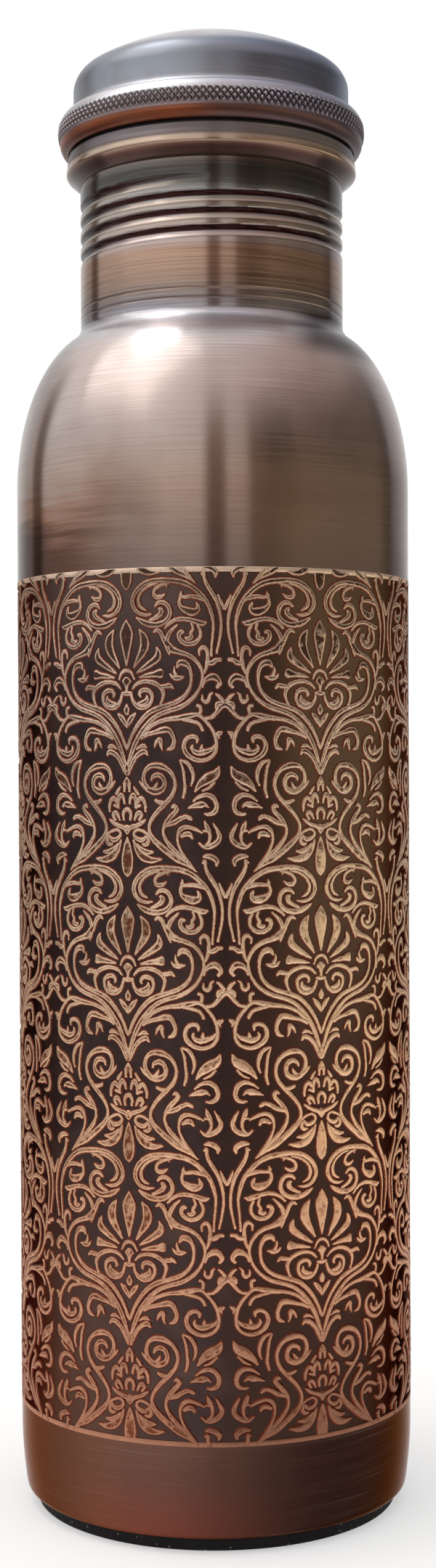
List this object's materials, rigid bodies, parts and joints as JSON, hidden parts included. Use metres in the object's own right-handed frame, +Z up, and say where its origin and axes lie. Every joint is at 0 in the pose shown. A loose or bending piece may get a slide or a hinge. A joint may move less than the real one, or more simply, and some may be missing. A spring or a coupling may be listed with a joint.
{
  "type": "water bottle",
  "caption": "Copper water bottle with a rounded shoulder, rolled lip and domed screw cap that turns and rises off the neck.",
  "frame": {"origin": "centre of the foot pad's underside, on the surface that the bottle stands on", "axes": "+Z up along the bottle's axis, towards the cap; +Y away from the side with the ornament's mirror line nearest the middle, -Y towards the viewer; +X to the viewer's right"},
  "size_m": [0.074, 0.074, 0.2762],
  "materials": {
    "etched_copper": "brushed antique copper with an etched and darkened damask band",
    "brushed_copper": "brushed copper",
    "cap_copper": "satin antique copper, knurled on the rim",
    "flecked_rubber": "matt black rubber with light flecks",
    "seal_silicone": "smooth black silicone"
  },
  "bodies": {
    "bottle": {"bottle_body": "etched_copper", "base_disc": "brushed_copper", "foot_pad": "flecked_rubber"},
    "seal": {"seal_ring": "seal_silicone"},
    "cap": {"screw_plug": "brushed_copper", "cap_shell": "cap_copper"}
  },
  "joints": [
    {"name": "cap_lift", "type": "slide", "parent": "bottle", "child": "seal", "axis": [0, 0, 1], "range_m": [0, 0.0156]},
    {"name": "cap_turn", "type": "hinge", "parent": "seal", "child": "cap", "pos_m": [0, 0, 0.2584], "axis": [0, 0, 1], "range_deg": [0, 1800]}
  ],
  "couplings": [
    {"joint": "cap_lift", "follows": "cap_turn", "m_per_rad": 0.00049338}
  ]
}
